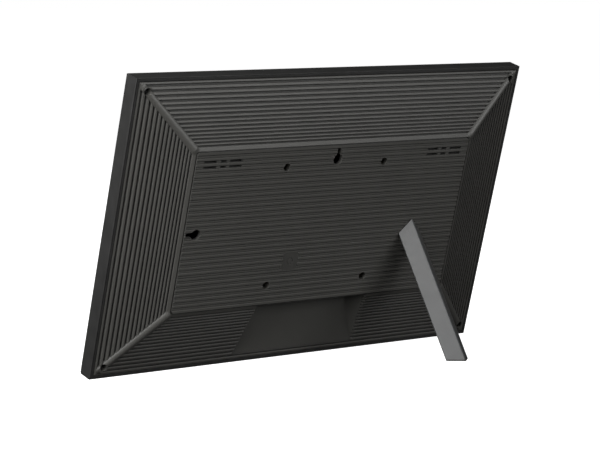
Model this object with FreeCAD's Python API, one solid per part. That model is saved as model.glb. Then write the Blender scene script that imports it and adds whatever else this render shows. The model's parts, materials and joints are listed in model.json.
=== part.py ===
import FreeCAD, Part
import math
import os

# Digital photo frame on a single rear leg.
#
# Every piece is modelled with the housing upright, then the whole object leans back onto its leg:
#   x  across, to the right as seen from the front
#   y  from the front of the bezel (0) towards the back
#   z  up, from the bottom edge of the housing
# "inset" is the distance in from the housing's outer edge, the same on all four sides.

V = FreeCAD.Vector
ACROSS = V(1, 0, 0)
BACKWARD = V(0, 1, 0)
UPWARD = V(0, 0, 1)

# Housing
WIDTH = 392.0
HEIGHT = 245.0
HALF_WIDTH = WIDTH / 2
MID_HEIGHT = HEIGHT / 2
BAND_DEPTH = 14.5
LEAN_DEG = 16.0
FRONT_BEVEL = 0.85
REAR_EDGE_BREAK = 0.4
REAR_GROOVE = (0.55, 1.15)
REAR_GROOVE_DEPTH = 0.6
BEZEL_WALL = 2.7
BEZEL_LIP = 2.0
BORDER = 18.5
BORDER_CHAMFER = 1.2

# Back cover
SEAM_GAP = 0.6
SKIRT_FRONT = 8.5
SKIRT_THICK = 1.6
SLOPE_START = 3.6
SLOPE_END = 55.3
SLOPE_TOP = 29.3
PLATEAU_RIB = 0.8
PLATEAU_TOP = SLOPE_TOP + PLATEAU_RIB
PLATEAU_INNER = 27.4
PANEL_THICK = 3.0
PLATEAU_RIB_INSET_X = 56.5
PLATEAU_RIB_INSET_Z = 56.4
PLATEAU_CORNER_R = 2.5
CHANNEL_WIDTH = 1.1
CHANNEL_DEPTH = 0.9
SLOPE = (SLOPE_TOP - BAND_DEPTH) / (SLOPE_END - SLOPE_START)
SLOPE_ANGLE = math.atan(SLOPE)

# Fluting on the four sloping panels: the pitch shrinks evenly towards the middle
GROOVE_COUNT = 15
FIRST_GROOVE = 6.0
FIRST_PITCH = 3.92
PITCH_STEP = 0.102
GROOVE_SHARE = 0.40
GROOVE_DEPTH = 2.0
GROOVE_FLOOR_SHARE = 0.75
GROOVE_OPEN = 1.2
GROOVE_END_LEAN = 0.45
GROOVE_NOTCH = 1.1
# A rib's rounded edge: how far each point lies outside the groove's wall, and how deep
RIB_ROUND = ((0.6, 0.0), (0.22, 0.16), (0.0, 0.55))

# Fluting on the raised middle
PLATEAU_PITCH = 4.48
PLATEAU_GROOVE = 2.4
PLATEAU_LINE = 0.5
PLATEAU_LINE_DEPTH = 1.1
PLATEAU_STEP = 0.3
RIB_CHAMFER = 0.22
PLATEAU_SIDE_GROOVES = 14
SEAM_HEIGHT = 85.4
SEAM_WIDTH = 0.4
SEAM_DEPTH = 0.6

# Rounded ridges along the four hips
BAND_START = 3.7
BAND_END = 53.2
BAND_WIDTH_OUTER = 6.0
BAND_WIDTH_INNER = 8.0
BAND_PROUD = 0.95
BAND_NOSE_PROUD = 0.1
BAND_NOSE = 2.2
BAND_SINK = 0.2
BAND_ROOT = 2.0

# Corner screws
SCREW_INSET = 10.2
SCREW_RECESS_R = 2.95
SCREW_BOSS_R = 4.6
SCREW_HEAD_R = 2.75
SCREW_HEAD_THICK = 2.0
SCREW_SHANK_R = 1.45
SCREW_SEAT = 11.0
POST_TOP = 9.0
POST_R = 3.6

# Wall mount holes
VESA_HALF = 50.0
VESA_HOLE_R = 3.3
VESA_BOSS_R = 4.75
INSERT_R = 2.8
INSERT_BORE_R = 1.65
INSERT_TOP = 23.0
INSERT_LENGTH = 7.0
BOSS_FRONT = 15.0

# Keyholes: a round entry and a narrower slot
KEY_ENTRY_R = 4.5
KEY_SLOT_R = 2.0
KEY_SLOT_LENGTH = 7.9
KEY_TOP_AT = (-0.7, 176.7)
KEY_SIDE_AT = (128.6, 121.2)
KEY_PLATE = 1.2
KEY_PLATE_HALF = 8.0
KEY_PLATE_BEFORE = 7.0
KEY_PLATE_AFTER = 12.5
KEY_PLATE_GAP = 0.15

# Sound slots, two rows of three on each side
SLOT_ROWS = (176.3, 180.8)
SLOT_SPANS = ((95.2, 107.4), (110.3, 116.2), (119.5, 132.3))
SLOT_R = 0.8

# Connector pocket under the raised middle
POCKET_CENTRE = -2.3
POCKET_TOP_HALF = 57.2
POCKET_BOTTOM_HALF = 62.2
POCKET_FLOOR_TOP_HALF = 43.6
POCKET_FLOOR = 14.2
POCKET_BOTTOM = 7.0
POCKET_CEILING = 55.1
POCKET_WALL = 2.0
POCKET_REACH = 33.0
POCKET_FLOOR_R = 2.5

# Ring badge
BADGE_AT = (29.9, 91.9)
BADGE_HALF = 7.4
BADGE_CORNER_R = 2.0
BADGE_RING_R = 3.0
BADGE_RING_LINE = 0.7
BADGE_RELIEF = 0.35
BADGE_SINK = 0.3
BADGE_GAP = 0.1
BADGE_SEAT = SLOPE_TOP - 0.7

# Display stack, from the front
GLASS_HALF_X = 180.5
GLASS_HALF_Z = 107.0
GLASS_THICK = 1.8
SEAT_RIDGE_OUT = 14.2
SEAT_RIDGE_IN = 15.2
MASK_THICK = 0.2
ACTIVE_HALF_X = 172.1
ACTIVE_HALF_Z = 96.8
TRAY_HALF_X = 178.0
TRAY_HALF_Z = 104.0
TRAY_SHEET = 0.6
TRAY_BACK = 8.6
CELL_THICK = 1.6
CELL_GAP = 0.2
STRIP_THICK = 1.0
STRIP_HALF = 165.0

# Panel brackets
BRACKET_INSET = 8.5
BRACKET_THICK = 1.2
BRACKET_HALF_Z = 7.0
BRACKET_REACH = (172.0, 190.5)
BRACKET_HEIGHTS = (62.0, 183.0)
BRACKET_POST_R = 3.4

# Main board
BOARD_HALF_X = 44.0
BOARD_BOTTOM = 58.6
BOARD_TOP = 138.0
BOARD_FRONT = 12.6
BOARD_THICK = 1.6
BOARD_BACK = BOARD_FRONT + BOARD_THICK
BOARD_SCREWS = ((-39.5, 74.0), (39.5, 74.0), (-39.5, 133.0), (39.5, 133.0))
STANDOFF_R = 2.6
STANDOFF_BORE_R = 1.5
PORT_FACE = 55.6
PORT_GAP = 0.3

# Power button in the pocket's ceiling
BUTTON_AT = (35.5, 18.2)
BUTTON_HALF = 2.4
BUTTON_R = 2.0
BUTTON_TIP = 54.0
BUTTON_FLANGE = 57.4
BUTTON_STEM_END = 60.2
BUTTON_TRAVEL = 0.8
BUTTON_FLANGE_GROW = 0.9
BUTTON_FLANGE_THICK = 0.8
BUTTON_STEM_R = 1.4
SWITCH_FRONT = BUTTON_STEM_END + BUTTON_TRAVEL + 0.3
SWITCH_LENGTH = 4.0
SWITCH_HALF = 3.2
SWITCH_RISE = 2.6
SPRING_WIRE_R = 0.2
SPRING_R = 1.9
SPRING_TURNS = 3
SPRING_GAP = 0.05

# Loudspeakers
SPEAKER_AT = (113.5, 178.4)
SPEAKER_HALF_X = 20.5
SPEAKER_HALF_Z = 6.4
SPEAKER_DEPTH = 8.0
GASKET = 0.6

# Leg
LEG_X = -92.7
LEG_HALF = 11.5
LEG_RISE = 9.16
LEG_EDGE = 0.8
LEG_RIDGE_HALF = 0.5
LEG_EDGE_HEIGHT = 107.5
LEG_ANGLE_DEG = 47.15
LEG_CLEAR = 0.3
LEG_PAD = 1.4
SPINDLE_HEIGHT = 112.5
SPINDLE_R = 4.0
SPINDLE_CLEAR = 0.05
BUSH_R = 7.0
BUSH_FRONT = 15.0
BUSH_BACK = 25.4
LEG_BOSS_R = 9.5
RETAINER_R = 7.5
RETAINER_THICK = 1.2
WASHER_THICK = 0.6
LEG_SCREW_R = 1.95
LEG_SCREW_HEAD_R = 3.6


# ---- building blocks -------------------------------------------------------

def box(x0, x1, y0, y1, z0, z1):
    return Part.makeBox(x1 - x0, y1 - y0, z1 - z0, V(x0, y0, z0))


def rod(x, z, radius, y0, y1):
    """A round bar that runs front to back."""
    return Part.makeCylinder(radius, y1 - y0, V(x, y0, z), BACKWARD)


def ring(x, z, outer, inner, y0, y1):
    return rod(x, z, outer, y0, y1).cut(rod(x, z, inner, y0, y1))


def union(shapes):
    """Fuse shapes that touch into one solid."""
    merged = shapes[0].multiFuse(shapes[1:])
    return merged.removeSplitter()


def face(points):
    return Part.Face(Part.makePolygon(list(points) + [points[0]]))


def between(start, end):
    """A solid between two flat outlines with matching corners."""
    sides = []
    count = len(start)
    for i in range(count):
        j = (i + 1) % count
        sides.append(face([start[i], start[j], end[j], end[i]]))
    shell = Part.Shell([face(start), face(end)] + sides)
    solid = Part.Solid(shell)
    if solid.Volume < 0:
        solid.reverse()
    return solid


def inset_outline(inset, y):
    """The housing's rectangle, this far in from its outer edge."""
    x = HALF_WIDTH - inset
    return [V(-x, y, inset), V(x, y, inset), V(x, y, HEIGHT - inset), V(-x, y, HEIGHT - inset)]


def inset_block(inset0, y0, inset1, y1):
    return between(inset_outline(inset0, y0), inset_outline(inset1, y1))


def centred_plate(half_x, half_z, y0, y1):
    """A plate centred on the housing."""
    return box(-half_x, half_x, y0, y1, MID_HEIGHT - half_z, MID_HEIGHT + half_z)


def rounded_plate(x0, x1, z0, z1, radius, y0, y1):
    plate = box(x0, x1, y0, y1, z0, z1)
    corners = [e for e in plate.Edges if abs(e.tangentAt(e.FirstParameter).y) > 0.99]
    return plate.makeFillet(radius, corners)


def slot_bar(x0, x1, z, radius, y0, y1):
    """A front-to-back bar with the outline of a slot that runs across."""
    middle = box(x0 + radius, x1 - radius, y0, y1, z - radius, z + radius)
    return union([middle, rod(x0 + radius, z, radius, y0, y1), rod(x1 - radius, z, radius, y0, y1)])


def bent_tube(points, radius, bend):
    """A thin tube along straight runs joined by tangent arcs."""
    edges = []
    here = points[0]
    for before, corner, after in zip(points, points[1:], points[2:]):
        back = (before - corner).normalize()
        ahead = (after - corner).normalize()
        half_turn = (math.pi - back.getAngle(ahead)) / 2
        reach = bend * math.tan(half_turn)
        start = corner + back * reach
        end = corner + ahead * reach
        middle_dir = (back + ahead).normalize()
        middle = corner + middle_dir * (bend / math.cos(half_turn) - bend)
        edges.append(Part.LineSegment(here, start).toShape())
        edges.append(Part.Arc(start, middle, end).toShape())
        here = end
    edges.append(Part.LineSegment(here, points[-1]).toShape())
    path = Part.Wire(edges)
    section = Part.Wire([Part.Circle(points[0], points[1] - points[0], radius).toShape()])
    return path.makePipeShell([section], True, False)


# ---- back cover ------------------------------------------------------------

def slope_height(inset):
    """Height of the rib tops on a sloping panel."""
    return BAND_DEPTH + (inset - SLOPE_START) * SLOPE


def band_half(inset):
    """Half of a hip band, measured along the housing's edge."""
    share = (inset - SLOPE_START) / (SLOPE_END - SLOPE_START)
    width = BAND_WIDTH_OUTER + share * (BAND_WIDTH_INNER - BAND_WIDTH_OUTER)
    return width / math.sqrt(2)


def panel_point(side, inset, y, sign):
    """A point on the leaning plane where a panel's fluting ends, just inside a hip ridge's edge."""
    lean = GROOVE_END_LEAN * (slope_height(inset) + GROOVE_OPEN - y)
    stop = inset + band_half(inset) - GROOVE_NOTCH + lean
    if side in ("top", "bottom"):
        z = inset if side == "bottom" else HEIGHT - inset
        return V(sign * (HALF_WIDTH - stop), y, z)
    x = HALF_WIDTH - inset if side == "right" else inset - HALF_WIDTH
    z = stop if sign < 0 else HEIGHT - stop
    return V(x, y, z)


def groove_section(inset, width):
    """Outline of a flute across the slope: rounded lips, leaning walls and a flat floor."""
    along = (math.cos(SLOPE_ANGLE), math.sin(SLOPE_ANGLE))
    outward = (-math.sin(SLOPE_ANGLE), math.cos(SLOPE_ANGLE))
    half = width / 2
    floor = half * GROOVE_FLOOR_SHARE
    right = [(half + out, -down) for out, down in RIB_ROUND] + [(floor, -GROOVE_DEPTH)]
    right = [(right[0][0], GROOVE_OPEN)] + right
    profile = [(-s, n) for s, n in right] + right[::-1]
    base = (inset, slope_height(inset))
    return [
        (base[0] + s * along[0] + n * outward[0], base[1] + s * along[1] + n * outward[1])
        for s, n in profile
    ]


def slope_grooves():
    cutters = []
    inset = FIRST_GROOVE
    pitch = FIRST_PITCH
    for number in range(GROOVE_COUNT):
        section = groove_section(inset, pitch * GROOVE_SHARE)
        for side in ("top", "bottom", "left", "right"):
            start = [panel_point(side, d, y, -1) for d, y in section]
            end = [panel_point(side, d, y, 1) for d, y in section]
            cutters.append(between(start, end))
        inset += pitch
        pitch -= PITCH_STEP
    return cutters


def plateau_groove(z):
    """A lower strip between two of the middle's ribs, with a fine deep line along each side."""
    half = PLATEAU_GROOVE / 2
    lip = half + RIB_CHAMFER
    y_lip = PLATEAU_TOP - RIB_CHAMFER
    y_line = PLATEAU_TOP - PLATEAU_LINE_DEPTH
    y_strip = PLATEAU_TOP - PLATEAU_STEP
    line = half - PLATEAU_LINE / 2
    strip = half - PLATEAU_LINE
    section = [
        (z - lip, PLATEAU_TOP + 1.0), (z - lip, PLATEAU_TOP), (z - half, y_lip),
        (z - line, y_line), (z - strip, y_strip), (z + strip, y_strip), (z + line, y_line),
        (z + half, y_lip), (z + lip, PLATEAU_TOP), (z + lip, PLATEAU_TOP + 1.0),
    ]
    x = HALF_WIDTH - PLATEAU_RIB_INSET_X + CHANNEL_WIDTH / 2
    return between([V(-x, y, c) for c, y in section], [V(x, y, c) for c, y in section])


def plateau_grooves():
    numbers = range(-PLATEAU_SIDE_GROOVES, PLATEAU_SIDE_GROOVES + 1)
    return [plateau_groove(MID_HEIGHT + PLATEAU_PITCH * n) for n in numbers]


def plateau_channel():
    """The narrow channel round the raised middle."""
    x = HALF_WIDTH - PLATEAU_RIB_INSET_X
    z = PLATEAU_RIB_INSET_Z
    wide = CHANNEL_WIDTH
    floor = SLOPE_TOP - CHANNEL_DEPTH
    outer = rounded_plate(-x - wide, x + wide, z - wide, HEIGHT - z + wide, PLATEAU_CORNER_R + wide,
                          floor, PLATEAU_TOP + 1)
    inner = rounded_plate(-x, x, z, HEIGHT - z, PLATEAU_CORNER_R, floor - 1, PLATEAU_TOP + 2)
    return outer.cut(inner)


def hip_ridge(x_sign, top):
    """A smooth rounded ridge along one hip, from its outer end to a low nose at the inner end."""
    def section(inset, proud):
        edge = inset + band_half(inset)
        middle = (inset + edge) / 2

        def place(x_inset, z_inset, y):
            return V(x_sign * (HALF_WIDTH - x_inset), y, HEIGHT - z_inset if top else z_inset)

        low = slope_height(inset) - BAND_ROOT
        base = slope_height(inset) - BAND_SINK
        crown = place(middle, middle, slope_height(middle) + proud)
        arc = Part.Arc(place(edge, inset, base), crown, place(inset, edge, base)).toShape()
        corners = [
            place(inset, edge, base), place(inset, edge, low),
            place(edge, inset, low), place(edge, inset, base),
        ]
        lines = [Part.LineSegment(a, b).toShape() for a, b in zip(corners, corners[1:])]
        return Part.Wire([arc] + lines)

    sections = [
        section(BAND_START, BAND_NOSE_PROUD), section(BAND_START + BAND_NOSE, BAND_PROUD),
        section(BAND_END - BAND_NOSE, BAND_PROUD), section(BAND_END, BAND_NOSE_PROUD),
    ]
    return Part.makeLoft(sections, True, True)


def keyhole(x, z, turn_deg, y0, y1, grow):
    """A keyhole whose slot points up, or to one side when turned."""
    entry = rod(x, z, KEY_ENTRY_R + grow, y0, y1)
    slot_r = KEY_SLOT_R + grow
    neck = box(x - slot_r, x + slot_r, y0, y1, z, z + KEY_SLOT_LENGTH)
    tip = rod(x, z + KEY_SLOT_LENGTH, slot_r, y0, y1)
    shape = union([entry, neck, tip])
    shape.rotate(V(x, 0, z), BACKWARD, turn_deg)
    return shape


def key_plate_block(x, z, turn_deg, y0, y1, grow):
    half = KEY_PLATE_HALF + grow
    block = box(x - half, x + half, y0, y1, z - KEY_PLATE_BEFORE - grow, z + KEY_PLATE_AFTER + grow)
    block.rotate(V(x, 0, z), BACKWARD, turn_deg)
    return block


def sound_slots(y0, y1):
    bars = []
    for x0, x1 in SLOT_SPANS:
        for z in SLOT_ROWS:
            bars.append(slot_bar(x0, x1, z, SLOT_R, y0, y1))
            bars.append(slot_bar(-x1, -x0, z, SLOT_R, y0, y1))
    return bars


def pocket(grow):
    """The hollow that the plugs reach through: a flat floor and leaning side walls."""
    centre = POCKET_CENTRE
    z0 = POCKET_BOTTOM - grow
    z1 = POCKET_CEILING + grow
    floor = POCKET_FLOOR - grow
    lean = (POCKET_TOP_HALF - POCKET_FLOOR_TOP_HALF) / (SLOPE_TOP - POCKET_FLOOR)
    mouth_bottom = POCKET_BOTTOM_HALF + lean * (POCKET_REACH - POCKET_FLOOR) + grow
    mouth_top = POCKET_FLOOR_TOP_HALF + lean * (POCKET_REACH - POCKET_FLOOR) + grow
    low_half = POCKET_BOTTOM_HALF + grow
    high_half = POCKET_FLOOR_TOP_HALF + grow
    inner = [
        V(centre - low_half, floor, z0), V(centre + low_half, floor, z0),
        V(centre + high_half, floor, z1), V(centre - high_half, floor, z1),
    ]
    mouth = [
        V(centre - mouth_bottom, POCKET_REACH, z0), V(centre + mouth_bottom, POCKET_REACH, z0),
        V(centre + mouth_top, POCKET_REACH, z1), V(centre - mouth_top, POCKET_REACH, z1),
    ]
    hollow = between(inner, mouth)
    edges = [
        e for e in hollow.Edges
        if e.BoundBox.YLength < 1e-6 and abs(e.BoundBox.YMin - floor) < 1e-6 and e.BoundBox.ZLength > 1
    ]
    return hollow.makeFillet(POCKET_FLOOR_R + grow, edges)


def corner_points():
    x = HALF_WIDTH - SCREW_INSET
    return [(sx * x, z) for sx in (-1, 1) for z in (SCREW_INSET, HEIGHT - SCREW_INSET)]


def vesa_points():
    return [(sx * VESA_HALF, MID_HEIGHT + sz * VESA_HALF) for sx in (-1, 1) for sz in (-1, 1)]


def cover_outside():
    skirt = inset_block(BEZEL_WALL + SEAM_GAP, SKIRT_FRONT, BEZEL_WALL + SEAM_GAP, BAND_DEPTH)
    roof = inset_block(SLOPE_START, BAND_DEPTH, SLOPE_END, SLOPE_TOP)
    x = HALF_WIDTH - PLATEAU_RIB_INSET_X
    z = PLATEAU_RIB_INSET_Z
    plateau = rounded_plate(-x, x, z, HEIGHT - z, PLATEAU_CORNER_R, SLOPE_TOP - 1.0, PLATEAU_TOP)
    ridges = [hip_ridge(sx, top) for sx in (-1, 1) for top in (False, True)]
    return union([skirt, roof, plateau] + ridges)


def cover_inside():
    skirt_inner = BEZEL_WALL + SEAM_GAP + SKIRT_THICK
    drop = PANEL_THICK / math.cos(SLOPE_ANGLE)
    low = slope_height(skirt_inner) - drop
    end = SLOPE_START + (PLATEAU_INNER + drop - BAND_DEPTH) / SLOPE
    straight = inset_block(skirt_inner, SKIRT_FRONT, skirt_inner, low)
    roof = inset_block(skirt_inner, low, end, PLATEAU_INNER)
    return union([straight, roof])


def port_holes():
    """Openings in the pocket's ceiling, one for each connector and one for the button."""
    z0 = POCKET_CEILING - 1.0
    z1 = POCKET_CEILING + POCKET_WALL + 1.0
    holes = []
    for x0, x1, y0, y1 in (DC_JACK, USB_SOCKET, CARD_SLOT):
        holes.append(box(x0 - PORT_GAP, x1 + PORT_GAP, y0 - PORT_GAP, y1 + PORT_GAP, z0, z1))
    holes.append(button_bar(PORT_GAP / 2, z0, z1))
    return holes


def back_cover():
    shell = cover_outside().cut(cover_inside())
    inside = []
    for x, z in corner_points():
        inside.append(rod(x, z, SCREW_BOSS_R, POST_TOP, slope_height(SCREW_INSET)))
    for x, z in vesa_points():
        inside.append(rod(x, z, VESA_BOSS_R, BOSS_FRONT, PLATEAU_INNER + 0.5))
    inside.append(rod(LEG_X, SPINDLE_HEIGHT, LEG_BOSS_R, BUSH_FRONT, PLATEAU_INNER + 0.5))
    inside.append(pocket(POCKET_WALL).common(cover_outside()))
    shell = union([shell] + inside)

    cutters = slope_grooves() + plateau_grooves() + [plateau_channel()]
    shell = shell.cut(Part.makeCompound(cutters))

    cuts = [pocket(0.0)]
    x = HALF_WIDTH - SLOPE_END
    cuts.append(box(-x, x, SLOPE_TOP - SEAM_DEPTH, PLATEAU_TOP + 1, SEAM_HEIGHT, SEAM_HEIGHT + SEAM_WIDTH))
    for x, z in corner_points():
        cuts.append(rod(x, z, SCREW_RECESS_R, SCREW_SEAT, PLATEAU_TOP))
        cuts.append(rod(x, z, SCREW_SHANK_R + 0.1, POST_TOP - 1, SCREW_SEAT + 1))
    for x, z in vesa_points():
        cuts.append(rod(x, z, VESA_HOLE_R, INSERT_TOP, PLATEAU_TOP + 1))
        cuts.append(rod(x, z, INSERT_R, BOSS_FRONT - 1, INSERT_TOP + 0.5))
    cuts.append(rod(LEG_X, SPINDLE_HEIGHT, BUSH_R, BUSH_FRONT - 1, BUSH_BACK))
    cuts.append(rod(LEG_X, SPINDLE_HEIGHT, SPINDLE_R + 0.3, BUSH_BACK - 1, PLATEAU_TOP + 1))
    for (x, z), turn in ((KEY_TOP_AT, 0), (KEY_SIDE_AT, 90)):
        cuts.append(keyhole(x, z, turn, PLATEAU_INNER - 4, PLATEAU_TOP + 1, 0.0))
        cuts.append(key_plate_block(x, z, turn, PLATEAU_INNER - KEY_PLATE - 2, PLATEAU_INNER, KEY_PLATE_GAP))
    cuts += sound_slots(PLATEAU_INNER - 1, PLATEAU_TOP + 1)
    bx, bz = BADGE_AT
    half = BADGE_HALF + BADGE_GAP
    cuts.append(rounded_plate(bx - half, bx + half, bz - half, bz + half, BADGE_CORNER_R,
                              BADGE_SEAT, PLATEAU_TOP + 1))
    cuts += port_holes()
    for cutter in cuts:
        shell = shell.cut(cutter)
    return shell


# ---- front and display -----------------------------------------------------

def front_bezel():
    front = inset_block(FRONT_BEVEL, 0, 0, BEZEL_LIP)
    rear_start = BAND_DEPTH - REAR_EDGE_BREAK
    middle = inset_block(0, BEZEL_LIP, 0, rear_start)
    rear = inset_block(0, rear_start, REAR_EDGE_BREAK, BAND_DEPTH)
    body = union([front, middle, rear])
    body = body.cut(inset_block(BEZEL_WALL, BEZEL_LIP, BEZEL_WALL, BAND_DEPTH + 1))
    groove_out, groove_in = REAR_GROOVE
    groove_front = BAND_DEPTH - REAR_GROOVE_DEPTH
    groove = inset_block(groove_out, groove_front, groove_out, BAND_DEPTH + 1)
    body = body.cut(groove.cut(inset_block(groove_in, groove_front - 1, groove_in, BAND_DEPTH + 2)))
    body = body.cut(inset_block(BORDER - BORDER_CHAMFER, -0.01, BORDER, BORDER_CHAMFER))
    body = body.cut(inset_block(BORDER, -1, BORDER, BEZEL_LIP + 1))
    ridge = inset_block(SEAT_RIDGE_OUT, BEZEL_LIP, SEAT_RIDGE_OUT, BEZEL_LIP + GLASS_THICK)
    ridge = ridge.cut(inset_block(SEAT_RIDGE_IN, BEZEL_LIP, SEAT_RIDGE_IN, BEZEL_LIP + GLASS_THICK))
    posts = [rod(x, z, POST_R, BEZEL_LIP - 0.5, POST_TOP) for x, z in corner_points()]
    posts += [rod(x, z, BRACKET_POST_R, BEZEL_LIP - 0.5, TRAY_BACK) for x, z in bracket_points()]
    body = union([body, ridge] + posts)
    for x, z in corner_points():
        body = body.cut(rod(x, z, SCREW_SHANK_R, BEZEL_LIP + 1, POST_TOP + 1))
    for x, z in bracket_points():
        body = body.cut(rod(x, z, SMALL_SCREW_R, BEZEL_LIP + 1, TRAY_BACK + 1))
    return body


def screen_glass():
    return centred_plate(GLASS_HALF_X, GLASS_HALF_Z, BEZEL_LIP, BEZEL_LIP + GLASS_THICK)


def border_mask():
    front = BEZEL_LIP + GLASS_THICK
    outer = centred_plate(GLASS_HALF_X, GLASS_HALF_Z, front, front + MASK_THICK)
    return outer.cut(centred_plate(ACTIVE_HALF_X, ACTIVE_HALF_Z, front - 1, front + 1))


CELL_FRONT = BEZEL_LIP + GLASS_THICK + MASK_THICK
CELL_BACK = CELL_FRONT + CELL_THICK


def lcd_cell():
    inner = TRAY_SHEET + CELL_GAP
    return centred_plate(TRAY_HALF_X - inner, TRAY_HALF_Z - inner, CELL_FRONT, CELL_BACK)


def light_guide():
    inner = TRAY_SHEET + CELL_GAP + STRIP_THICK + CELL_GAP
    return centred_plate(TRAY_HALF_X - inner, TRAY_HALF_Z - inner, CELL_BACK, TRAY_BACK - TRAY_SHEET)


def led_strip():
    bottom = MID_HEIGHT - TRAY_HALF_Z + TRAY_SHEET
    return box(-STRIP_HALF, STRIP_HALF, CELL_BACK + 0.1, TRAY_BACK - TRAY_SHEET, bottom, bottom + STRIP_THICK)


def backlight_tray():
    outer = centred_plate(TRAY_HALF_X, TRAY_HALF_Z, CELL_FRONT + 0.2, TRAY_BACK)
    inner_x = TRAY_HALF_X - TRAY_SHEET
    inner_z = TRAY_HALF_Z - TRAY_SHEET
    return outer.cut(centred_plate(inner_x, inner_z, 0, TRAY_BACK - TRAY_SHEET))


# ---- fixings ---------------------------------------------------------------

SMALL_SCREW_R = 1.2
SMALL_HEAD_R = 2.4
SMALL_HEAD_THICK = 1.4
CROSS_HALF = 0.35
CROSS_DEPTH = 0.8


def screw(x, z, head_r, head_thick, shank_r, seat, tip):
    """A cross-head screw driven from the back; its head sits on the seat."""
    head = rod(x, z, head_r, seat, seat + head_thick)
    top = seat + head_thick
    rim = [e for e in head.Edges if abs(e.BoundBox.YMin - top) < 1e-6 and abs(e.BoundBox.YMax - top) < 1e-6]
    head = head.makeFillet(head_thick * 0.4, rim)
    arm = head_r * 0.62
    cross = union([
        box(x - arm, x + arm, top - CROSS_DEPTH, top + 1, z - CROSS_HALF, z + CROSS_HALF),
        box(x - CROSS_HALF, x + CROSS_HALF, top - CROSS_DEPTH, top + 1, z - arm, z + arm),
    ])
    shank = rod(x, z, shank_r, tip, seat)
    return union([head, shank]).cut(cross)


def corner_screws():
    return [
        screw(x, z, SCREW_HEAD_R, SCREW_HEAD_THICK, SCREW_SHANK_R - 0.03, SCREW_SEAT, BEZEL_LIP + 1.5)
        for x, z in corner_points()
    ]


def bracket_points():
    return [(sx * (HALF_WIDTH - BRACKET_INSET), z) for sx in (-1, 1) for z in BRACKET_HEIGHTS]


def panel_brackets():
    plates = []
    near, far = BRACKET_REACH
    for x, z in bracket_points():
        x0, x1 = (near, far) if x > 0 else (-far, -near)
        z0, z1 = z - BRACKET_HALF_Z, z + BRACKET_HALF_Z
        plate = rounded_plate(x0, x1, z0, z1, 2.0, TRAY_BACK, TRAY_BACK + BRACKET_THICK)
        plates.append(plate.cut(rod(x, z, SMALL_SCREW_R + 0.2, TRAY_BACK - 1, TRAY_BACK + 3)))
    return plates


def bracket_screws():
    seat = TRAY_BACK + BRACKET_THICK
    return [
        screw(x, z, SMALL_HEAD_R, SMALL_HEAD_THICK, SMALL_SCREW_R - 0.03, seat, BEZEL_LIP + 1.5)
        for x, z in bracket_points()
    ]


def vesa_inserts():
    bottom = INSERT_TOP - INSERT_LENGTH
    return [ring(x, z, INSERT_R, INSERT_BORE_R, bottom, INSERT_TOP) for x, z in vesa_points()]


def keyhole_plate(x, z, turn_deg):
    y0 = PLATEAU_INNER - KEY_PLATE
    plate = key_plate_block(x, z, turn_deg, y0, PLATEAU_INNER, 0.0)
    return plate.cut(keyhole(x, z, turn_deg, y0 - 1, PLATEAU_INNER + 1, -0.1))


def ring_badge():
    x, z = BADGE_AT
    half = BADGE_HALF
    top = PLATEAU_TOP - BADGE_SINK
    pad = rounded_plate(x - half, x + half, z - half, z + half, BADGE_CORNER_R, BADGE_SEAT, top)
    inner_r = BADGE_RING_R - BADGE_RING_LINE
    line = ring(x, z, BADGE_RING_R, inner_r, top - BADGE_RELIEF, top + 1)
    return pad.cut(line)


# ---- main board and what is on it ------------------------------------------

# Each connector: x from, x to, y from, y to
DC_JACK = (-35.0, -26.0, BOARD_BACK, BOARD_BACK + 11.0)
USB_SOCKET = (-17.0, -3.4, BOARD_BACK, BOARD_BACK + 6.6)
CARD_SLOT = (2.5, 27.5, BOARD_BACK, BOARD_BACK + 3.4)
DC_BORE_R = 3.0
DC_PIN_R = 1.0
DC_LENGTH = 14.0
DC_BORE_DEPTH = 9.5
USB_WALL = 0.4
USB_LENGTH = 14.0
USB_DEPTH = 12.0
CARD_WALL = 0.4
CARD_LENGTH = 26.0
CARD_DEPTH = 24.0

# Each part on the board: x from, x to, z from, z to, how far it stands out
SHIELD = (-30.0, 4.0, 98.0, 126.0, 2.4)
WIFI = (12.0, 32.0, 88.0, 103.0, 2.2)
CHIPS = ((10.0, 22.0, 112.0, 126.0, 1.2), (25.0, 35.0, 113.0, 125.0, 1.2), (-30.0, -22.0, 78.0, 86.0, 1.5))
PLUGS = ((-36.0, -30.0, 118.0, 123.0, 4.0), (36.0, 42.0, 106.0, 111.0, 4.0))
CAPACITOR_PLACES = (-14.0, -6.0, 33.0)
CAPACITOR_HEIGHT = 80.0
CAPACITOR_R = 3.1
CAPACITOR_RISE = 7.5

# The display's flat cable and its connector on the front of the board
RIBBON_HALF = 11.0
RIBBON_THICK = 0.3
RIBBON_START = 26.0
RIBBON_TURN = 88.0
RIBBON_END = 97.9
CONNECTOR_HALF = 13.0
CONNECTOR_HEIGHTS = (98.0, 102.5)
CONNECTOR_RISE = 1.4

# Antenna film inside the raised middle
ANTENNA_ACROSS = (62.0, 96.0)
ANTENNA_HEIGHTS = (150.0, 158.0)
ANTENNA_THICK = 0.8


def main_board():
    board = box(-BOARD_HALF_X, BOARD_HALF_X, BOARD_FRONT, BOARD_BACK, BOARD_BOTTOM, BOARD_TOP)
    for x, z in BOARD_SCREWS:
        board = board.cut(rod(x, z, STANDOFF_BORE_R + 0.1, BOARD_FRONT - 1, BOARD_BACK + 1))
    return board


def board_standoffs():
    return [ring(x, z, STANDOFF_R, STANDOFF_BORE_R, TRAY_BACK, BOARD_FRONT) for x, z in BOARD_SCREWS]


def board_screws():
    return [
        screw(x, z, SMALL_HEAD_R, SMALL_HEAD_THICK, STANDOFF_BORE_R - 0.05, BOARD_BACK, TRAY_BACK + 0.5)
        for x, z in BOARD_SCREWS
    ]


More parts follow.
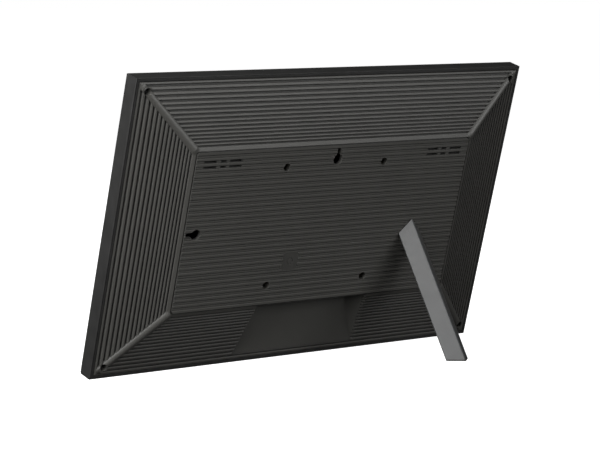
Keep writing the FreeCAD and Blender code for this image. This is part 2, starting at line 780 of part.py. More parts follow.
def dc_jack():
    x0, x1, y0, y1 = DC_JACK
    x = (x0 + x1) / 2
    y = (y0 + y1) / 2
    body = box(x0, x1, y0, y1, PORT_FACE, PORT_FACE + DC_LENGTH)
    return body.cut(Part.makeCylinder(DC_BORE_R, DC_BORE_DEPTH + 1, V(x, y, PORT_FACE - 1), UPWARD))


def dc_jack_pin():
    x0, x1, y0, y1 = DC_JACK
    foot = V((x0 + x1) / 2, (y0 + y1) / 2, PORT_FACE + 1)
    return Part.makeCylinder(DC_PIN_R, DC_BORE_DEPTH - 1, foot, UPWARD)


def usb_socket():
    x0, x1, y0, y1 = USB_SOCKET
    wall = USB_WALL
    shell = box(x0, x1, y0, y1, PORT_FACE, PORT_FACE + USB_LENGTH)
    return shell.cut(box(x0 + wall, x1 - wall, y0 + wall, y1 - wall, PORT_FACE - 1, PORT_FACE + USB_DEPTH))


def usb_tongue():
    x0, x1, y0, y1 = USB_SOCKET
    return box(x0 + 1.2, x1 - 1.2, y1 - 2.6, y1 - 0.8, PORT_FACE + 1, PORT_FACE + USB_DEPTH)


def card_slot():
    x0, x1, y0, y1 = CARD_SLOT
    wall = CARD_WALL
    body = box(x0, x1, y0, y1, PORT_FACE, PORT_FACE + CARD_LENGTH)
    return body.cut(box(x0 + wall, x1 - wall, y0 + wall, y1 - wall, PORT_FACE - 1, PORT_FACE + CARD_DEPTH))


def on_board(x0, x1, z0, z1, rise):
    return box(x0, x1, BOARD_BACK, BOARD_BACK + rise, z0, z1)


def processor_shield():
    x0, x1, z0, z1, rise = SHIELD
    return rounded_plate(x0, x1, z0, z1, 1.0, BOARD_BACK, BOARD_BACK + rise)


def board_chips():
    return [on_board(*chip) for chip in CHIPS]


def board_capacitors():
    top = BOARD_BACK + CAPACITOR_RISE
    return [rod(x, CAPACITOR_HEIGHT, CAPACITOR_R, BOARD_BACK, top) for x in CAPACITOR_PLACES]


def wifi_module():
    x0, x1, z0, z1, rise = WIFI
    return rounded_plate(x0, x1, z0, z1, 0.8, BOARD_BACK, BOARD_BACK + rise)


def ribbon_connector():
    z0, z1 = CONNECTOR_HEIGHTS
    return box(-CONNECTOR_HALF, CONNECTOR_HALF, BOARD_FRONT - CONNECTOR_RISE, BOARD_FRONT, z0, z1)


def lcd_ribbon():
    """The flat cable from the panel's lower edge up behind the board to its connector."""
    y0 = TRAY_BACK + 0.1
    thick = RIBBON_THICK
    rise = BOARD_FRONT - 0.9
    straight = RIBBON_END - 0.9
    profile = [
        (y0, RIBBON_START), (y0, RIBBON_TURN), (rise - thick, straight), (rise - thick, RIBBON_END),
        (rise, RIBBON_END), (rise, straight - 0.1),
        (y0 + thick, RIBBON_TURN - 0.1), (y0 + thick, RIBBON_START),
    ]
    left = [V(-RIBBON_HALF, y, z) for y, z in profile]
    right = [V(RIBBON_HALF, y, z) for y, z in profile]
    return between(left, right)


def wifi_antenna():
    x0, x1 = ANTENNA_ACROSS
    z0, z1 = ANTENNA_HEIGHTS
    return box(x0, x1, PLATEAU_INNER - ANTENNA_THICK, PLATEAU_INNER, z0, z1)


def antenna_lead():
    low = BOARD_BACK + 2.8
    y = BOARD_BACK + 4.1
    route = [V(30, low, 96), V(40, y, 96), V(52, y, 102), V(52, y, 140), V(66, 24, 146), V(66, 24, 149)]
    return bent_tube(route, 0.5, 2.0)


def speaker_plugs():
    return [on_board(*plug) for plug in PLUGS]


def speaker_lead(sign):
    y = BOARD_BACK + 2.0
    start_x, start_z = (42.2, 108.5) if sign > 0 else (-36.2, 120.5)
    end_x = sign * (SPEAKER_AT[0] - SPEAKER_HALF_X - 0.2)
    route = [
        V(start_x, y, start_z), V(sign * 62, y, start_z),
        V(sign * 70, y + 3, SPEAKER_AT[1] - 8), V(sign * 80, y + 6, SPEAKER_AT[1]),
        V(end_x, y + 6, SPEAKER_AT[1]),
    ]
    return bent_tube(route, 0.9, 4.0)


# ---- loudspeakers ----------------------------------------------------------

def speaker(sign):
    x, z = sign * SPEAKER_AT[0], SPEAKER_AT[1]
    back = PLATEAU_INNER - GASKET
    front = back - SPEAKER_DEPTH
    body = rounded_plate(x - SPEAKER_HALF_X, x + SPEAKER_HALF_X, z - SPEAKER_HALF_Z, z + SPEAKER_HALF_Z,
                         2.0, front, back)
    dish = rounded_plate(x - SPEAKER_HALF_X + 2, x + SPEAKER_HALF_X - 2, z - SPEAKER_HALF_Z + 2,
                         z + SPEAKER_HALF_Z - 2, 1.5, back - 1.0, back + 1)
    return body.cut(dish)


def speaker_gasket(sign):
    x, z = sign * SPEAKER_AT[0], SPEAKER_AT[1]
    outer = rounded_plate(x - SPEAKER_HALF_X, x + SPEAKER_HALF_X, z - SPEAKER_HALF_Z, z + SPEAKER_HALF_Z,
                          2.0, PLATEAU_INNER - GASKET, PLATEAU_INNER)
    hole = rounded_plate(x - SPEAKER_HALF_X + 1.5, x + SPEAKER_HALF_X - 1.5, z - SPEAKER_HALF_Z + 1.5,
                         z + SPEAKER_HALF_Z - 1.5, 1.5, PLATEAU_INNER - 2, PLATEAU_INNER + 1)
    return outer.cut(hole)


# ---- power button ----------------------------------------------------------

def button_bar(grow, z0, z1):
    """An upright bar with the button's rounded outline."""
    x, y = BUTTON_AT
    radius = BUTTON_R + grow
    middle = box(x - BUTTON_HALF, x + BUTTON_HALF, y - radius, y + radius, z0, z1)
    ends = [Part.makeCylinder(radius, z1 - z0, V(x + s * BUTTON_HALF, y, z0), UPWARD) for s in (-1, 1)]
    return union([middle] + ends)


def power_button():
    x, y = BUTTON_AT
    cap = button_bar(0.0, BUTTON_TIP, BUTTON_FLANGE)
    flange = button_bar(BUTTON_FLANGE_GROW, BUTTON_FLANGE, BUTTON_FLANGE + BUTTON_FLANGE_THICK)
    stem = Part.makeCylinder(BUTTON_STEM_R, BUTTON_STEM_END - BUTTON_FLANGE, V(x, y, BUTTON_FLANGE), UPWARD)
    return union([cap, flange, stem])


def button_switch():
    x, y = BUTTON_AT
    z1 = SWITCH_FRONT + SWITCH_LENGTH
    return box(x - SWITCH_HALF, x + SWITCH_HALF, BOARD_BACK, y + SWITCH_RISE, SWITCH_FRONT, z1)


def button_spring():
    """A small coil round the stem, between the flange and the switch, in tilted half turns."""
    x, y = BUTTON_AT
    low = BUTTON_FLANGE + BUTTON_FLANGE_THICK + SPRING_WIRE_R + SPRING_GAP
    high = SWITCH_FRONT - SPRING_WIRE_R - SPRING_GAP
    step = (high - low) / (2 * SPRING_TURNS)
    tilted_r = math.hypot(SPRING_R, step / 2)
    arcs = []
    side = 1
    for number in range(2 * SPRING_TURNS):
        z = low + number * step
        start = V(x + side * SPRING_R, y, z)
        middle = V(x, y + side * tilted_r, z + step / 2)
        end = V(x - side * SPRING_R, y, z + step)
        arcs.append(Part.Arc(start, middle, end).toShape())
        side = -side
    path = Part.Wire(arcs)
    section = Part.Wire([Part.Circle(V(x + SPRING_R, y, low), V(0, 1, 0), SPRING_WIRE_R).toShape()])
    return path.makePipeShell([section], True, False)


# ---- leg -------------------------------------------------------------------

def leg_prism():
    """The leg before it is cut: three faces, with its ridge on the outer side."""
    angle = math.radians(LEG_ANGLE_DEG)
    along = V(0, math.sin(angle), -math.cos(angle))
    rise = V(0, math.cos(angle), math.sin(angle))
    foot = V(LEG_X, PLATEAU_TOP, LEG_EDGE_HEIGHT)
    edge_x = LEG_HALF
    outline = [
        (-edge_x, 0.0), (edge_x, 0.0), (edge_x, LEG_EDGE), (LEG_RIDGE_HALF, LEG_RISE),
        (-LEG_RIDGE_HALF, LEG_RISE), (-edge_x, LEG_EDGE),
    ]
    start = [foot + ACROSS * x + rise * h + along * -25 for x, h in outline]
    end = [foot + ACROSS * x + rise * h + along * 160 for x, h in outline]
    return between(start, end)


def floor_slab(thickness):
    """What lies up to this height above the table, before the object leans back."""
    slab = Part.makeBox(600, 600, thickness + 200, V(-300, -300, -200))
    slab.transformShape(lean_matrix().inverse())
    return slab


def stand_leg():
    front = PLATEAU_TOP + LEG_CLEAR
    leg = leg_prism().cut(box(-300, 300, -100, front, -100, 400))
    leg = leg.cut(floor_slab(LEG_PAD))
    spindle_front = BUSH_FRONT - WASHER_THICK
    spindle = rod(LEG_X, SPINDLE_HEIGHT, SPINDLE_R, spindle_front, front + 1.5)
    leg = union([leg, spindle])
    return leg.cut(rod(LEG_X, SPINDLE_HEIGHT, LEG_SCREW_R + 0.02, spindle_front - 1, BUSH_FRONT + 8))


def leg_foot_pad():
    return leg_prism().common(floor_slab(LEG_PAD)).cut(floor_slab(0.0))


def leg_bush():
    return ring(LEG_X, SPINDLE_HEIGHT, BUSH_R, SPINDLE_R + SPINDLE_CLEAR, BUSH_FRONT, BUSH_BACK)


def friction_washer():
    back = BUSH_FRONT - 0.05
    return ring(LEG_X, SPINDLE_HEIGHT, BUSH_R, SPINDLE_R + 0.1, BUSH_FRONT - WASHER_THICK, back)


def leg_retainer():
    back = BUSH_FRONT - WASHER_THICK
    return ring(LEG_X, SPINDLE_HEIGHT, RETAINER_R, LEG_SCREW_R + 0.1, back - RETAINER_THICK, back)


def leg_screw():
    seat = BUSH_FRONT - WASHER_THICK - RETAINER_THICK
    head = rod(LEG_X, SPINDLE_HEIGHT, LEG_SCREW_HEAD_R, seat - 2.0, seat)
    hexagon = [
        V(LEG_X + 1.7 * math.cos(a), seat - 3, SPINDLE_HEIGHT + 1.7 * math.sin(a))
        for a in [math.pi / 3 * k for k in range(6)]
    ]
    socket = face(hexagon).extrude(BACKWARD * 2.4)
    shank = rod(LEG_X, SPINDLE_HEIGHT, LEG_SCREW_R, seat, BUSH_FRONT + 7.5)
    return union([head, shank]).cut(socket)


# ---- the whole object ------------------------------------------------------

def lean_matrix():
    """Turns the upright model so that it rests on its rear bottom edge and its leg."""
    turn = FreeCAD.Rotation(ACROSS, -LEAN_DEG)
    edge = turn.multVec(V(0, BAND_DEPTH - REAR_EDGE_BREAK, 0))
    return FreeCAD.Placement(V(0, 0, -edge.z), turn).toMatrix()


def pieces():
    return {
        "front_bezel": front_bezel(),
        "screen_glass": screen_glass(),
        "border_mask": border_mask(),
        "lcd_cell": lcd_cell(),
        "light_guide": light_guide(),
        "led_strip": led_strip(),
        "backlight_tray": backlight_tray(),
        "panel_brackets": panel_brackets(),
        "bracket_screws": bracket_screws(),
        "back_cover": back_cover(),
        "corner_screws": corner_screws(),
        "vesa_inserts": vesa_inserts(),
        "keyhole_plate_top": keyhole_plate(KEY_TOP_AT[0], KEY_TOP_AT[1], 0),
        "keyhole_plate_side": keyhole_plate(KEY_SIDE_AT[0], KEY_SIDE_AT[1], 90),
        "ring_badge": ring_badge(),
        "main_board": main_board(),
        "board_standoffs": board_standoffs(),
        "board_screws": board_screws(),
        "processor_shield": processor_shield(),
        "board_chips": board_chips(),
        "board_capacitors": board_capacitors(),
        "wifi_module": wifi_module(),
        "wifi_antenna": wifi_antenna(),
        "antenna_lead": antenna_lead(),
        "ribbon_connector": ribbon_connector(),
        "lcd_ribbon": lcd_ribbon(),
        "dc_jack": dc_jack(),
        "dc_jack_pin": dc_jack_pin(),
        "usb_socket": usb_socket(),
        "usb_tongue": usb_tongue(),
        "card_slot": card_slot(),
        "power_button": power_button(),
        "button_spring": button_spring(),
        "button_switch": button_switch(),
        "speaker_plugs": speaker_plugs(),
        "speaker_left": speaker(1),
        "speaker_right": speaker(-1),
        "speaker_gasket_left": speaker_gasket(1),
        "speaker_gasket_right": speaker_gasket(-1),
        "speaker_lead_left": speaker_lead(1),
        "speaker_lead_right": speaker_lead(-1),
        "stand_leg": stand_leg(),
        "leg_foot_pad": leg_foot_pad(),
        "leg_bush": leg_bush(),
        "friction_washer": friction_washer(),
        "leg_retainer": leg_retainer(),
        "leg_screw": leg_screw(),
    }


def main():
    os.makedirs("parts", exist_ok=True)
    leaned = {}
    for name, made in pieces().items():
        shape = Part.makeCompound(made) if isinstance(made, list) else made
        shape.transformShape(lean_matrix())
        leaned[name] = shape
    bounds = Part.makeCompound(list(leaned.values())).BoundBox
    centre = V(0, -(bounds.YMin + bounds.YMax) / 2, 0)
    for name, shape in leaned.items():
        shape.translate(centre)
        shape.exportStep("parts/" + name + ".step")
        print(name, len(shape.Solids), round(shape.Volume / 1000, 2), "cm3", shape.isValid())
    print("centre shift", round(centre.y, 4))


main()
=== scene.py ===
import json
import math

import bpy
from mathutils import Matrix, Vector


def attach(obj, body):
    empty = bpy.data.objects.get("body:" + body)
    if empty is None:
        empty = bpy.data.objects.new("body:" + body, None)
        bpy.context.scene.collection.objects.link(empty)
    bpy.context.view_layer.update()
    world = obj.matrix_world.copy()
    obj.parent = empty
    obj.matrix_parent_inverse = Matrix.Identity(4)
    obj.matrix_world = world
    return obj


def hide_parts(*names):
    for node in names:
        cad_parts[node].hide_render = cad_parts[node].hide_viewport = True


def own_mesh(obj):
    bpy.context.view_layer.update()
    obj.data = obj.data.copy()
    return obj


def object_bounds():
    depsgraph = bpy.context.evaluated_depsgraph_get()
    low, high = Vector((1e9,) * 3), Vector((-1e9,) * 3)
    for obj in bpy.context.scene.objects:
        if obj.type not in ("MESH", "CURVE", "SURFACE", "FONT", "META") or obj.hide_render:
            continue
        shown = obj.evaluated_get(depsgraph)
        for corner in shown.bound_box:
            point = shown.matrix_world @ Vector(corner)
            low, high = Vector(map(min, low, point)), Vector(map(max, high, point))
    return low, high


# Digital photo frame on its leg, seen from behind. Metres, +Z up.

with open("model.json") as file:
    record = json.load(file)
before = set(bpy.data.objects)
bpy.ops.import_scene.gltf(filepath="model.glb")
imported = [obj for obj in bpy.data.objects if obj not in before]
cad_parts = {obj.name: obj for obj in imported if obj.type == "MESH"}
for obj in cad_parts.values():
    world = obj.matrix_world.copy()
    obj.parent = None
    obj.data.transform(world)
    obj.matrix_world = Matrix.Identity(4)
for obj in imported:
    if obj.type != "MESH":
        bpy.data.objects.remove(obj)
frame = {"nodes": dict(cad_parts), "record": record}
cad_low, cad_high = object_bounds()
NODES = frame["nodes"]
MM = 0.001

# ---- camera ----------------------------------------------------------------

CAMERA_AT = (1.1943, 1.4665, 0.3083)
CAMERA_LOOK = (-0.61916, -0.77845, -0.10324)
CAMERA_LENS = 141.9
SENSOR_WIDTH = 36.0
CLIP_NEAR = 0.05
CLIP_FAR = 60.0


def make_camera():
    """Looks at the back from one side and slightly downwards, through a long lens."""
    data = bpy.data.cameras.new("camera")
    data.sensor_width = SENSOR_WIDTH
    data.lens = CAMERA_LENS
    data.clip_start = CLIP_NEAR
    data.clip_end = CLIP_FAR
    camera = bpy.data.objects.new("camera", data)
    camera.location = CAMERA_AT
    camera.rotation_mode = "QUATERNION"
    camera.rotation_quaternion = Vector(CAMERA_LOOK).to_track_quat("-Z", "Y")
    bpy.context.scene.collection.objects.link(camera)
    bpy.context.scene.camera = camera


# ---- stage and lights ------------------------------------------------------

FLOOR_HALF = 20.0
FLOOR_ALBEDO = 0.5
FLOOR_GLOW = 1.0
FLOOR_ROUGH = 0.9
FIBRE_SCALE = 60
BACKGROUND = 1.0
SKY_FILL = 0.02
TABLE_BOUNCE = 0.03
HORIZON_BLUR = 0.15

# Each soft light: angle round the object from +X, height angle, distance, side, power, and whether it shows
# in gloss. The one on the screen's side doesn't, so that its edge isn't seen across the glass.
LIGHTS = {
    "high_key": (30, 45, 1.1, 0.6, 9.5, True),
    "low_key": (30, 20, 1.1, 0.6, 7.5, True),
    "left_side": (5, 15, 1.1, 0.6, 13.0, True),
    "right_side": (125, 15, 2.4, 1.0, 24.0, True),
    "right_low": (100, 5, 2.4, 1.0, 12.0, True),
    "screen_side": (-90, 20, 2.0, 1.4, 22.0, False),
}


def make_floor():
    """A white stage that the camera sees, and that gives the object no bounce."""
    mesh = bpy.data.meshes.new("floor")
    half = FLOOR_HALF
    corners = [(-half, -half, 0), (half, -half, 0), (half, half, 0), (-half, half, 0)]
    mesh.from_pydata(corners, [], [(0, 1, 2, 3)])
    floor = bpy.data.objects.new("floor", mesh)
    bpy.context.scene.collection.objects.link(floor)
    material = Material("floor_paper")
    fibre = material.noise(FIBRE_SCALE, 3)
    material.colour(fibre, (FLOOR_ALBEDO * 0.99,) * 3, (FLOOR_ALBEDO,) * 3)
    material.set("Roughness", FLOOR_ROUGH)
    material.set("Emission Color", (1, 1, 1, 1))
    material.set("Emission Strength", FLOOR_GLOW)
    mesh.materials.append(material.data)
    floor.visible_diffuse = False
    floor.visible_glossy = False


def area_light(name, angle, height, distance, side, power, in_gloss):
    """A square soft light that faces the middle of the object."""
    data = bpy.data.lights.new(name, "AREA")
    data.shape = "SQUARE"
    data.size = side
    data.energy = power
    light = bpy.data.objects.new(name, data)
    turn = math.radians(angle)
    rise = math.radians(height)
    away = Vector((math.cos(rise) * math.cos(turn), math.cos(rise) * math.sin(turn), math.sin(rise)))
    light.location = (cad_low + cad_high) / 2 + away * distance
    light.visible_camera = False
    light.visible_transmission = False
    light.visible_glossy = in_gloss
    light.rotation_mode = "QUATERNION"
    light.rotation_quaternion = (-away).to_track_quat("-Z", "Y")
    bpy.context.scene.collection.objects.link(light)


def make_world():
    """A white background, whose light on the object is weak: a little sky, and the table's bounce."""
    world = bpy.data.worlds.new("studio")
    world.use_nodes = True
    nodes = world.node_tree.nodes
    links = world.node_tree.links

    def ramp(value, start, stop, low, high):
        node = nodes.new("ShaderNodeMapRange")
        for socket, number in zip(("From Min", "From Max", "To Min", "To Max"), (start, stop, low, high)):
            node.inputs[socket].default_value = number
        links.new(value, node.inputs["Value"])
        return node

    direction = nodes.new("ShaderNodeSeparateXYZ")
    links.new(nodes.new("ShaderNodeTexCoord").outputs["Generated"], direction.inputs[0])
    fill = ramp(direction.outputs["Z"], -HORIZON_BLUR, HORIZON_BLUR, TABLE_BOUNCE, SKY_FILL)
    seen = ramp(nodes.new("ShaderNodeLightPath").outputs["Is Camera Ray"], 0, 1, 0, BACKGROUND)
    links.new(fill.outputs["Result"], seen.inputs["To Min"])
    background = nodes["Background"]
    background.inputs["Color"].default_value = (1, 1, 1, 1)
    links.new(seen.outputs["Result"], background.inputs["Strength"])
    bpy.context.scene.world = world
    bpy.context.scene.view_settings.view_transform = "Standard"


# ---- materials -------------------------------------------------------------

# Linear base colours
COVER = (0.0308, 0.0302, 0.0276)
BEZEL = (0.0125, 0.0124, 0.0121)
LEG = (0.038, 0.0387, 0.0387)

# How far a flute's walls shade each other, and how much the rib tops are lightened by painted highlight and
# the flutes darkened by painted shade
FLUTE_REACH = 2.5 * MM
RIB_PAINTED_HIGHLIGHT = 1.25
FLUTE_PAINTED_SHADE = 0.6
FLUTE_ROUGHER = 0.2
FLUTE_OPEN_SPAN = (0.4, 0.95)

# Texture scales are per metre, and depths in metres
CLOUD_SCALE = 45
SHEEN_SCALE = 160
GRAIN_SCALE = 2600
COVER_PIT_SCALE = 1500
PIT_SHARE = 0.6
GRAIN_DEPTH = 0.02 * MM
MOTTLE = 0.12
SHEEN_SPREAD = 0.05

PEEL_SCALE = 1500
PEEL_PIT_SCALE = 900
PEEL_DEPTH = 0.02 * MM
# Painted highlight along edges: its reach, how much lighter, how strongly, and over which span of the edge
# measure
EDGE_HIGHLIGHT_RADIUS = 0.5 * MM
EDGE_HIGHLIGHT_LIFT = 1.5
EDGE_HIGHLIGHT_AMOUNT = 0.55
EDGE_HIGHLIGHT_SPAN = (0.7, 0.99)

MARK_SCALE = 1400
MARK_DEPTH = 0.01 * MM
MARK_SPREAD = 0.08
PORE_DEPTH = 0.04 * MM
TRACE_DEPTH = 0.02 * MM
CLEAR_IOR = 1.49

BEVEL_SAMPLES = 4
OCCLUSION_SAMPLES = 8


def tint(colour, factor):
    return tuple(c * factor for c in colour)


class Material:
    """A Principled material whose textures lie in the object's own space, in metres."""

    def __init__(self, name):
        self.slot = name
        self.data = bpy.data.materials.new(name)
        self.data.use_nodes = True
        self.nodes = self.data.node_tree.nodes
        self.links = self.data.node_tree.links
        self.shader = self.nodes["Principled BSDF"]
        self.place = self.nodes.new("ShaderNodeTexCoord").outputs["Object"]

    def set(self, socket, value):
        """A value that is the same all over the surface."""
        self.shader.inputs[socket].default_value = value

    def stretch(self, scale):
        """Coordinates squeezed by a factor along each axis."""
        mapping = self.nodes.new("ShaderNodeMapping")
        mapping.inputs["Scale"].default_value = scale
        self.links.new(self.place, mapping.inputs["Vector"])
        return mapping.outputs["Vector"]

    def noise(self, scale, detail, place=None):
        node = self.nodes.new("ShaderNodeTexNoise")
        node.inputs["Scale"].default_value = scale
        node.inputs["Detail"].default_value = detail
        self.links.new(place or self.place, node.inputs["Vector"])
        return node.outputs["Fac"]

    def cells(self, scale):
        node = self.nodes.new("ShaderNodeTexVoronoi")
        node.inputs["Scale"].default_value = scale
        self.links.new(self.place, node.inputs["Vector"])
        return node.outputs["Distance"]

    def waves(self, scale, axis):
        node = self.nodes.new("ShaderNodeTexWave")
        node.bands_direction = axis
        node.inputs["Scale"].default_value = scale
        self.links.new(self.place, node.inputs["Vector"])
        return node.outputs["Fac"]

    def span(self, value, low, high, start=0.3, stop=0.7):
        """Spreads a texture's values, from start to stop, over low to high."""
        node = self.nodes.new("ShaderNodeMapRange")
        node.inputs["From Min"].default_value = start
        node.inputs["From Max"].default_value = stop
        node.inputs["To Min"].default_value = low
        node.inputs["To Max"].default_value = high
        self.links.new(value, node.inputs["Value"])
        return node.outputs["Result"]

    def mix(self, factor, first, second):
        """Mixes two colours, each a constant or another node's output."""
        node = self.nodes.new("ShaderNodeMix")
        node.data_type = "RGBA"
        self.links.new(factor, node.inputs["Factor"])
        for socket, value in zip(("A", "B"), (first, second)):
            target = [i for i in node.inputs if i.name == socket and i.type == "RGBA"][0]
            if isinstance(value, tuple):
                target.default_value = (*value, 1)
            else:
                self.links.new(value, target)
        return [o for o in node.outputs if o.type == "RGBA"][0]

    def colour(self, factor, first, second):
        self.links.new(self.mix(self.span(factor, 0, 1), first, second), self.shader.inputs["Base Color"])

    def roughness(self, factor, low, high):
        self.links.new(self.span(factor, low, high), self.shader.inputs["Roughness"])

    def bump(self, *layers):
        """Adds height textures, each with its depth in metres."""
        below = None
        for height, depth in layers:
            node = self.nodes.new("ShaderNodeBump")
            node.inputs["Distance"].default_value = depth
            self.links.new(height, node.inputs["Height"])
            if below:
                self.links.new(below, node.inputs["Normal"])
            below = node.outputs["Normal"]
        self.links.new(below, self.shader.inputs["Normal"])

    def paint_edge_highlight(self, radius, colour, under, amount):
        """Lightens the edges: a painted highlight along them."""
        soft = self.nodes.new("ShaderNodeBevel")
        soft.samples = BEVEL_SAMPLES
        soft.inputs["Radius"].default_value = radius
        sharp = self.nodes.new("ShaderNodeNewGeometry")
        match = self.nodes.new("ShaderNodeVectorMath")
        match.operation = "DOT_PRODUCT"
        self.links.new(soft.outputs["Normal"], match.inputs[0])
        self.links.new(sharp.outputs["True Normal"], match.inputs[1])
        highlight_mask = self.span(match.outputs["Value"], amount, 0.0, *EDGE_HIGHLIGHT_SPAN)
        return self.mix(highlight_mask, under, colour)


def fluted(name, colour, rough):
    """The cover's plastic: rib tops lighter as a painted highlight and glossier, and flutes darker as
    painted shade and matt.
    """
    material = Material(name)
    cavity = material.nodes.new("ShaderNodeAmbientOcclusion")
    cavity.samples = OCCLUSION_SAMPLES
    cavity.inputs["Distance"].default_value = FLUTE_REACH
    open_face = material.span(cavity.outputs["AO"], 0, 1, *FLUTE_OPEN_SPAN)
    cloud = material.span(material.noise(CLOUD_SCALE, 4), 0, 1)
    # Painted highlight on the rib tops that are open to the light, and painted shade in the occluded flutes
    tops = material.mix(cloud, tint(colour, 0.95 * RIB_PAINTED_HIGHLIGHT), tint(colour, 1.05 * RIB_PAINTED_HIGHLIGHT))
    flutes = material.mix(cloud, tint(colour, 0.9 * FLUTE_PAINTED_SHADE), tint(colour, 1.1 * FLUTE_PAINTED_SHADE))
    material.links.new(material.mix(open_face, flutes, tops), material.shader.inputs["Base Color"])
    sheen = material.span(open_face, rough + FLUTE_ROUGHER, rough, 0, 1)
    material.links.new(sheen, material.shader.inputs["Roughness"])
    pits = material.cells(COVER_PIT_SCALE)
    material.bump((material.noise(GRAIN_SCALE, 2), GRAIN_DEPTH), (pits, GRAIN_DEPTH * PIT_SHARE))
    return material


def moulded(name, colour, rough):
    """Moulded plastic: a fine spark-eroded grain, slight mottling and uneven sheen."""
    material = Material(name)
    cloud = material.noise(CLOUD_SCALE, 4)
    material.colour(cloud, tint(colour, 1 - MOTTLE), tint(colour, 1 + MOTTLE))
    material.roughness(material.noise(SHEEN_SCALE, 3), rough - SHEEN_SPREAD, rough + SHEEN_SPREAD)
    pits = material.cells(GRAIN_SCALE * PIT_SHARE)
    material.bump((material.noise(GRAIN_SCALE, 2), GRAIN_DEPTH), (pits, GRAIN_DEPTH * PIT_SHARE))
    return material


def painted(name, colour, rough):
    """Satin powder coat over metal, with fine orange peel and a painted highlight on its edges."""
    material = Material(name)
    cloud = material.noise(60, 3)
    base = material.mix(material.span(cloud, 0, 1), tint(colour, 0.92), tint(colour, 1.08))
    # Painted highlight: the edges are lighter than the faces
    highlighted_base = material.paint_edge_highlight(EDGE_HIGHLIGHT_RADIUS, tint(colour, EDGE_HIGHLIGHT_LIFT), base, EDGE_HIGHLIGHT_AMOUNT)
    material.links.new(highlighted_base, material.shader.inputs["Base Color"])
    material.roughness(material.noise(220, 3), rough - SHEEN_SPREAD, rough + SHEEN_SPREAD)
    pits = material.cells(PEEL_PIT_SCALE)
    material.bump((material.noise(PEEL_SCALE, 2), PEEL_DEPTH), (pits, PEEL_DEPTH / 2))
    return material


def metal(name, colour, rough, along=(1, 1, 1)):
    """Bare or plated metal, with fine working marks that may be drawn out along an axis."""
    material = Material(name)
    marks = material.noise(MARK_SCALE, 3, material.stretch(along))
    material.colour(marks, tint(colour, 0.8), tint(colour, 1.05))
    material.roughness(marks, rough - MARK_SPREAD, rough + MARK_SPREAD)
    material.bump((marks, MARK_DEPTH))
    material.set("Metallic", 1.0)
    return material


def rubber(name, colour, rough, pores):
    """Rubber or foam, with that many pores per metre."""
    material = Material(name)
    material.colour(material.noise(300, 3), tint(colour, 0.8), tint(colour, 1.2))
    material.roughness(material.noise(500, 2), rough - 0.06, rough + 0.06)
    material.bump((material.cells(pores), PORE_DEPTH))
    return material


def clear(name, colour, rough, smear):
    """Glass or acrylic, with faint smears in its gloss."""
    material = Material(name)
    material.colour(material.noise(20, 2), tint(colour, 0.99), colour)
    material.roughness(material.noise(smear, 3), rough - 0.01, rough + 0.02)
    material.set("Transmission Weight", 1.0)
    material.set("IOR", CLEAR_IOR)
    return material


def display():
    """A switched-off display: near black, with the faint columns of its cells."""
    material = Material("display_panel")
    columns = material.waves(900, "X")
    material.colour(columns, (0.004, 0.004, 0.006), (0.007, 0.008, 0.011))
    material.roughness(material.noise(400, 2), 0.22, 0.3)
    return material


def printed_border():
    """Black ink on the back of the cover glass."""
    material = Material("border_print")
    material.colour(material.noise(500, 2), (0.002, 0.002, 0.002), (0.0035, 0.0035, 0.004))
    material.roughness(material.noise(300, 2), 0.1, 0.16)
    return material


def board():
    """Green solder mask over traces, with plated pads."""
    material = Material("circuit_board")
    traces = material.span(material.waves(160, "DIAGONAL"), 0, 1, 0.45, 0.55)
    mask = material.mix(traces, (0.008, 0.07, 0.03), (0.012, 0.12, 0.05))
    pads = material.span(material.cells(220), 1, 0, 0.1, 0.16)
    material.links.new(material.mix(pads, mask, (0.55, 0.5, 0.4)), material.shader.inputs["Base Color"])
    material.roughness(material.noise(400, 2), 0.25, 0.4)
    material.bump((traces, TRACE_DEPTH))
    return material


def ribbon():
    """Amber film over copper lines."""
    material = Material("ribbon_film")
    material.colour(material.waves(500, "X"), (0.3, 0.12, 0.03), (0.5, 0.24, 0.07))
    material.roughness(material.noise(300, 2), 0.2, 0.3)
    return material


def light_strip():
    """A white carrier with a row of small lamps."""
    material = Material("white_strip")
    material.colour(material.waves(35, "X"), (0.62, 0.62, 0.6), (0.85, 0.84, 0.7))
    material.roughness(material.noise(300, 2), 0.35, 0.45)
    return material


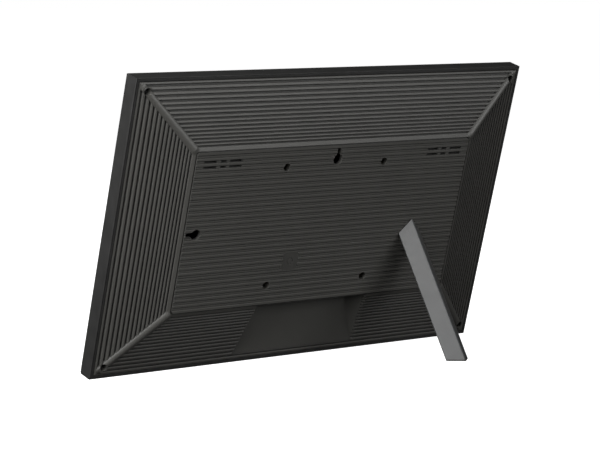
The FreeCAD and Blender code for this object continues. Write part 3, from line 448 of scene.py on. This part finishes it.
def make_materials():
    """One material for each of the record's slots."""
    made = [
        fluted("cover_plastic", COVER, 0.48),
        moulded("bezel_plastic", BEZEL, 0.45),
        moulded("badge_plastic", COVER, 0.45),
        moulded("button_plastic", tint(COVER, 0.8), 0.4),
        moulded("connector_black", (0.014, 0.014, 0.015), 0.42),
        moulded("connector_white", (0.7, 0.68, 0.62), 0.45),
        moulded("chip_black", (0.016, 0.016, 0.017), 0.55),
        moulded("speaker_plastic", (0.014, 0.014, 0.014), 0.5),
        moulded("nylon", (0.66, 0.65, 0.6), 0.45),
        painted("leg_metal", LEG, 0.42),
        painted("dark_steel", (0.02, 0.02, 0.02), 0.4),
        painted("black_screw", (0.012, 0.012, 0.012), 0.38),
        metal("steel_sheet", (0.55, 0.56, 0.57), 0.38, (0.05, 1, 1)),
        metal("zinc_screw", (0.6, 0.6, 0.6), 0.32),
        metal("tinned_can", (0.6, 0.6, 0.58), 0.35, (1, 1, 0.08)),
        metal("capacitor_can", (0.6, 0.6, 0.62), 0.3, (1, 0.1, 1)),
        metal("spring_steel", (0.5, 0.5, 0.5), 0.3),
        metal("brass", (0.55, 0.4, 0.16), 0.35, (1, 0.1, 1)),
        rubber("lead_sleeve", (0.015, 0.015, 0.015), 0.5, 1200),
        rubber("foam", (0.02, 0.02, 0.02), 0.8, 1800),
        rubber("foot_rubber", (0.02, 0.02, 0.02), 0.65, 1500),
        clear("screen_glass", (0.97, 0.98, 0.98), 0.02, 25),
        clear("clear_acrylic", (0.93, 0.95, 0.95), 0.05, 60),
        display(), printed_border(), board(), ribbon(), light_strip(),
    ]
    return {material.slot: material.data for material in made}


def paint():
    """Gives every CAD node the finish that the record names for it."""
    finishes = make_materials()
    slots = {part["node"]: part["material_slot"] for part in frame["record"]["subparts"]}
    for name, node in NODES.items():
        finish = finishes[slots[name]]
        for place in node.material_slots:
            place.material = finish


# ---- edges -----------------------------------------------------------------

# Nodes whose moulded or pressed edges are rounded, each with its radius
SOFT_EDGES = {
    "front_bezel": 0.35 * MM,
    "stand_leg": 0.3 * MM,
    "ring_badge": 0.12 * MM,
    "corner_screws": 0.08 * MM,
    "screen_glass": 0.2 * MM,
    "power_button": 0.25 * MM,
    "leg_foot_pad": 0.15 * MM,
}
WELD_DISTANCE = 0.002 * MM
SOFT_FROM_DEG = 28
SOFT_SEGMENTS = 3


def soften_edges():
    """Rounds the sharp edges of the nodes that show their edges most."""
    for name, radius in SOFT_EDGES.items():
        node = NODES[name]
        weld = node.modifiers.new("weld", "WELD")
        weld.merge_threshold = WELD_DISTANCE
        bevel = node.modifiers.new("round", "BEVEL")
        bevel.width = radius
        bevel.segments = SOFT_SEGMENTS
        bevel.limit_method = "ANGLE"
        bevel.angle_limit = math.radians(SOFT_FROM_DEG)
        bevel.harden_normals = True
        bevel.use_clamp_overlap = True


# ---- the button's spring ----------------------------------------------------


def shortening_spring():
    """A copy of the button's spring, attached to the housing in place of the hidden original."""
    node = NODES["button_spring"]
    spring = node.copy()
    spring.data = node.data.copy()
    spring.name = "return_coil"
    bpy.context.scene.collection.objects.link(spring)
    bpy.context.view_layer.update()
    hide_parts("button_spring")
    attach(spring, "housing")
    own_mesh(spring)


make_camera()
make_floor()
for light_name, light_values in LIGHTS.items():
    area_light(light_name, *light_values)
make_world()
paint()
soften_edges()
shortening_spring()
